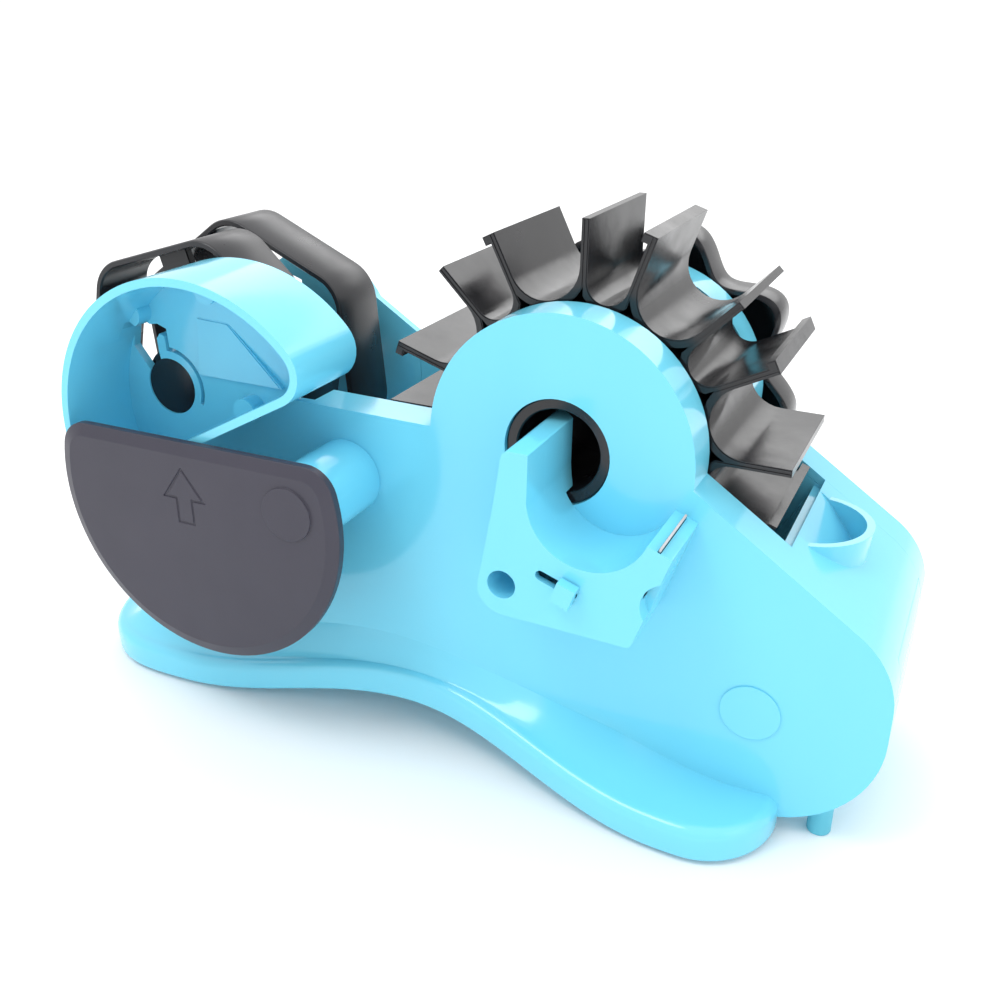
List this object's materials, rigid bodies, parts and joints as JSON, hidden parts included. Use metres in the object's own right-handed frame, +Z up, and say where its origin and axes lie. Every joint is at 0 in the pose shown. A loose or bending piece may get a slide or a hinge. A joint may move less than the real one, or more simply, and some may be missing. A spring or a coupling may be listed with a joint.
{
  "type": "multi-roll tape dispenser",
  "caption": "Desktop tape dispenser with a hand-turned finned drum, hexagonal roll cores on a rear shaft, a side cup with a swing cover, and a plug-on mini dispenser.",
  "frame": {"origin": "on the table, straight under the drum axis and midway between the two side walls", "axes": "+X toward the scoop and nose, +Y along the drum axis toward the hand wheel, +Z up"},
  "size_m": [0.229, 0.109, 0.136],
  "materials": {
    "blue_plastic": "glossy",
    "black_plastic": "glossy",
    "charcoal_plastic": "satin",
    "steel": "brushed",
    "ballast_iron": "rough",
    "foot_rubber": "matte"
  },
  "bodies": {
    "housing": {"base": "blue_plastic", "near_side_shell": "blue_plastic", "far_side_shell": "blue_plastic", "near_liner": "blue_plastic", "far_liner": "blue_plastic", "drum_well": "blue_plastic", "deck_cover": "blue_plastic", "nose_front": "blue_plastic", "ballast_weight": "ballast_iron", "rubber_feet": "foot_rubber", "base_screws": "steel", "liner_screws": "steel", "screw_plugs": "blue_plastic", "cut_blade": "steel", "blade_holder": "blue_plastic", "reel_shaft": "black_plastic", "near_spacer": "charcoal_plastic", "far_spacer": "charcoal_plastic", "core_post": "blue_plastic", "post_screw": "steel"},
    "drum_unit": {"drum": "black_plastic", "drum_hub": "black_plastic", "hand_wheel": "black_plastic", "wheel_screw": "steel", "wheel_cap": "black_plastic"},
    "near_core_unit": {"near_core": "charcoal_plastic"},
    "far_core_unit": {"far_core": "charcoal_plastic"},
    "plate_unit": {"cover_plate": "charcoal_plastic", "plate_pin": "charcoal_plastic"},
    "mini_unit": {"mini_front_shell": "blue_plastic", "mini_rear_shell": "blue_plastic", "mini_pegs": "blue_plastic", "mini_tongue": "blue_plastic", "mini_blade": "steel", "mini_screws": "steel"},
    "slider_unit": {"slide_button": "blue_plastic", "slide_tongue": "steel"}
  },
  "joints": [
    {"name": "drum_spin", "type": "hinge", "parent": "housing", "child": "drum_unit", "pos_m": [0, 0, 0.086], "axis": [0, 1, 0], "continuous": true},
    {"name": "near_core_spin", "type": "hinge", "parent": "housing", "child": "near_core_unit", "pos_m": [-0.1095, -0.0142, 0.086], "axis": [0, 1, 0], "continuous": true},
    {"name": "far_core_spin", "type": "hinge", "parent": "housing", "child": "far_core_unit", "pos_m": [-0.1095, 0.0098, 0.086], "axis": [0, 1, 0], "continuous": true},
    {"name": "cover_swing", "type": "hinge", "parent": "housing", "child": "plate_unit", "pos_m": [-0.056, -0.0535, 0.0705], "axis": [0, -1, 0], "range_deg": [0, 55]},
    {"name": "mini_pull", "type": "slide", "parent": "housing", "child": "mini_unit", "axis": [0, -1, 0], "range_m": [0, 0.01]},
    {"name": "button_slide", "type": "slide", "parent": "mini_unit", "child": "slider_unit", "axis": [-0.9432, 0, 0.3322], "range_m": [0, 0.0055]}
  ]
}
